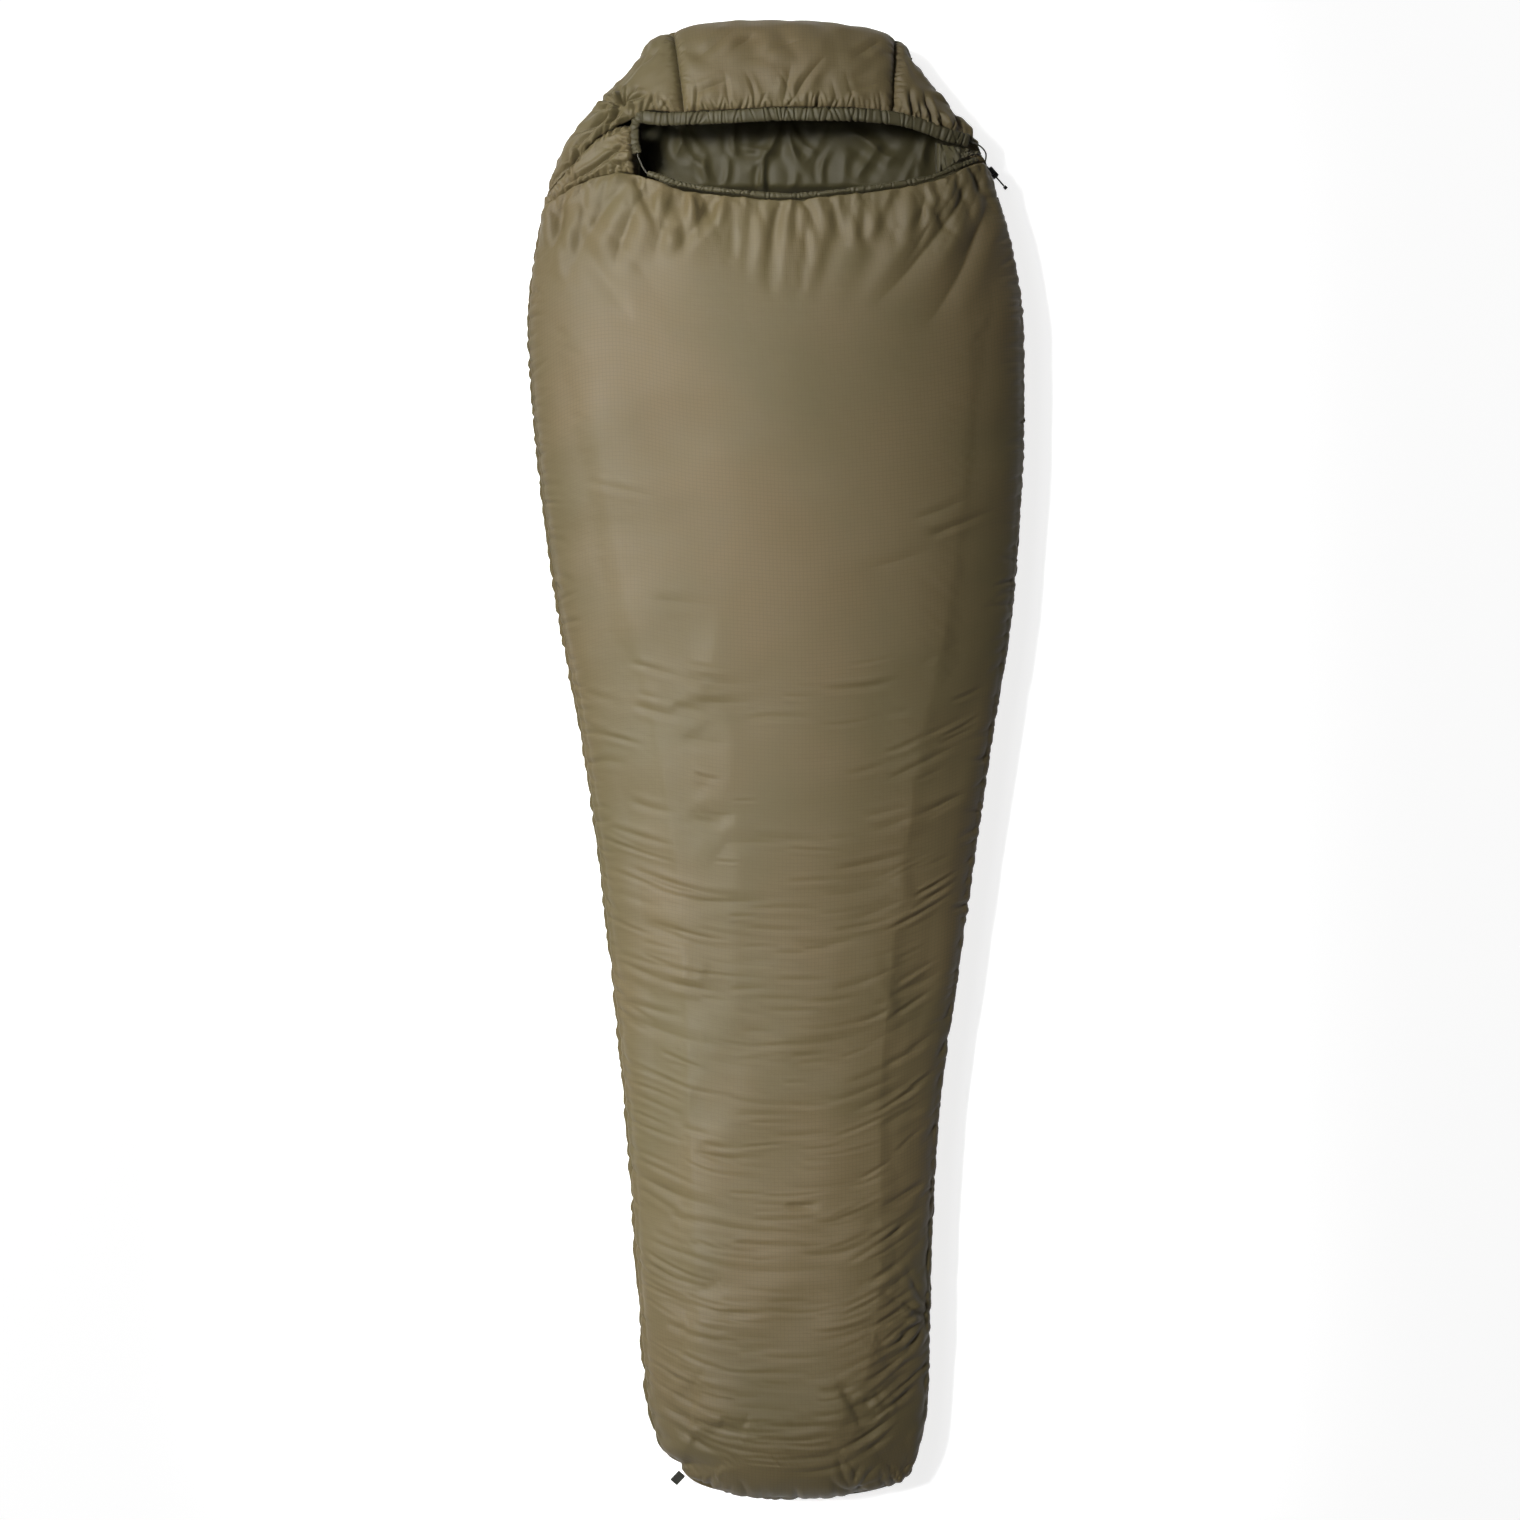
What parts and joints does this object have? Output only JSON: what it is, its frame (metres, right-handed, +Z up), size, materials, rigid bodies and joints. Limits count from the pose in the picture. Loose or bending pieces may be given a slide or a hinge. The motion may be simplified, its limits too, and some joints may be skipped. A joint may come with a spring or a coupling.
{
  "type": "mummy sleeping bag",
  "caption": "Padded mummy sleeping bag lying flat, with a drawcord hood, a two-way side zip and a foot hanging loop.",
  "frame": {"origin": "middle of the bag's footprint, on the floor it lies on", "axes": "+Z up, +Y from the foot to the hood, +X towards the side with the zip"},
  "size_m": [0.7291, 2.2, 0.144],
  "materials": {
    "outer_shell": "olive nylon, calendered, low sheen",
    "lining": "dark olive nylon, matte",
    "fill": "white synthetic batting",
    "channel_fabric": "dark olive nylon, gathered",
    "cord": "braided polyester",
    "webbing": "dark green-grey woven webbing",
    "zip_tape": "woven polyester tape",
    "black_plastic": "moulded black acetal",
    "black_enamel": "black enamelled zinc",
    "spring_steel": "bright wire"
  },
  "bodies": {
    "bag": {"chest_shell": "outer_shell", "chest_foot_fill": "fill", "chest_leg_fill": "fill", "chest_torso_fill": "fill", "chest_lining": "lining", "back_shell": "outer_shell", "back_foot_fill": "fill", "back_leg_fill": "fill", "back_torso_fill": "fill", "back_lining": "lining", "hood_crown_shell": "outer_shell", "hood_crown_fill": "fill", "hood_crown_lining": "lining", "hood_left_shell": "outer_shell", "hood_left_fill": "fill", "hood_left_lining": "lining", "hood_right_shell": "outer_shell", "hood_right_fill": "fill", "hood_right_lining": "lining", "hood_back_shell": "outer_shell", "hood_back_fill": "fill", "hood_back_lining": "lining", "neck_gusset_shell": "outer_shell", "neck_gusset_fill": "fill", "neck_gusset_lining": "lining", "neck_fold": "lining", "hood_channel": "channel_fabric", "chest_channel": "channel_fabric", "drawcord": "cord", "drawcord_tail": "cord", "cord_end_bead": "black_plastic", "zip_tape_upper": "zip_tape", "zip_tape_lower": "zip_tape", "zip_coil_upper": "black_plastic", "zip_coil_lower": "black_plastic", "zip_top_stop_front": "black_plastic", "zip_top_stop_back": "black_plastic", "zip_bottom_stop": "black_plastic", "anti_snag_tape": "webbing", "draft_tube_cover": "lining", "draft_tube_fill": "fill"},
    "top_slider": {"zip_slider_top": "black_enamel"},
    "top_pull": {"zip_pull_top": "black_enamel"},
    "bottom_slider": {"zip_slider_bottom": "black_enamel"},
    "bottom_pull": {"zip_pull_bottom": "black_enamel"},
    "cord_lock": {"cord_lock_body": "black_plastic", "cord_lock_spring": "spring_steel"},
    "lock_button": {"cord_lock_button": "black_plastic"},
    "loop": {"foot_loop": "webbing"}
  },
  "joints": [
    {"name": "top_slider_run", "type": "hinge", "parent": "bag", "child": "top_slider", "pos_m": [-1.6435, 0.46, 0.058], "axis": [0, 0, 1], "range_deg": [-21, 0]},
    {"name": "top_pull_swing", "type": "hinge", "parent": "top_slider", "child": "top_pull", "pos_m": [0.32537, 0.84311, 0.058], "axis": [0, 0, 1], "range_deg": [0, 165]},
    {"name": "bottom_slider_run", "type": "hinge", "parent": "bag", "child": "bottom_slider", "pos_m": [5.20783, -0.975, 0.058], "axis": [0, 0, 1], "range_deg": [-9.3, 0]},
    {"name": "bottom_pull_swing", "type": "hinge", "parent": "bottom_slider", "child": "bottom_pull", "pos_m": [0.21619, -0.81519, 0.058], "axis": [0, 0, 1], "range_deg": [-165, 0]},
    {"name": "cord_lock_run", "type": "slide", "parent": "bag", "child": "cord_lock", "axis": [0.6606, -0.7507, 0], "range_m": [-0.004, 0.012]},
    {"name": "lock_button_press", "type": "slide", "parent": "cord_lock", "child": "lock_button", "axis": [0, 0, 1], "range_m": [-0.002, 0], "stiffness_N_per_m": 800, "springref_m": 0.002, "deforming": ["cord_lock_spring"]},
    {"name": "foot_loop_flop", "type": "hinge", "parent": "bag", "child": "loop", "pos_m": [-0.1418, -1.064, 0.058], "axis": [0.76, -0.65, 0], "range_deg": [-40, 35], "stiffness_Nm_per_rad": 0.004}
  ]
}
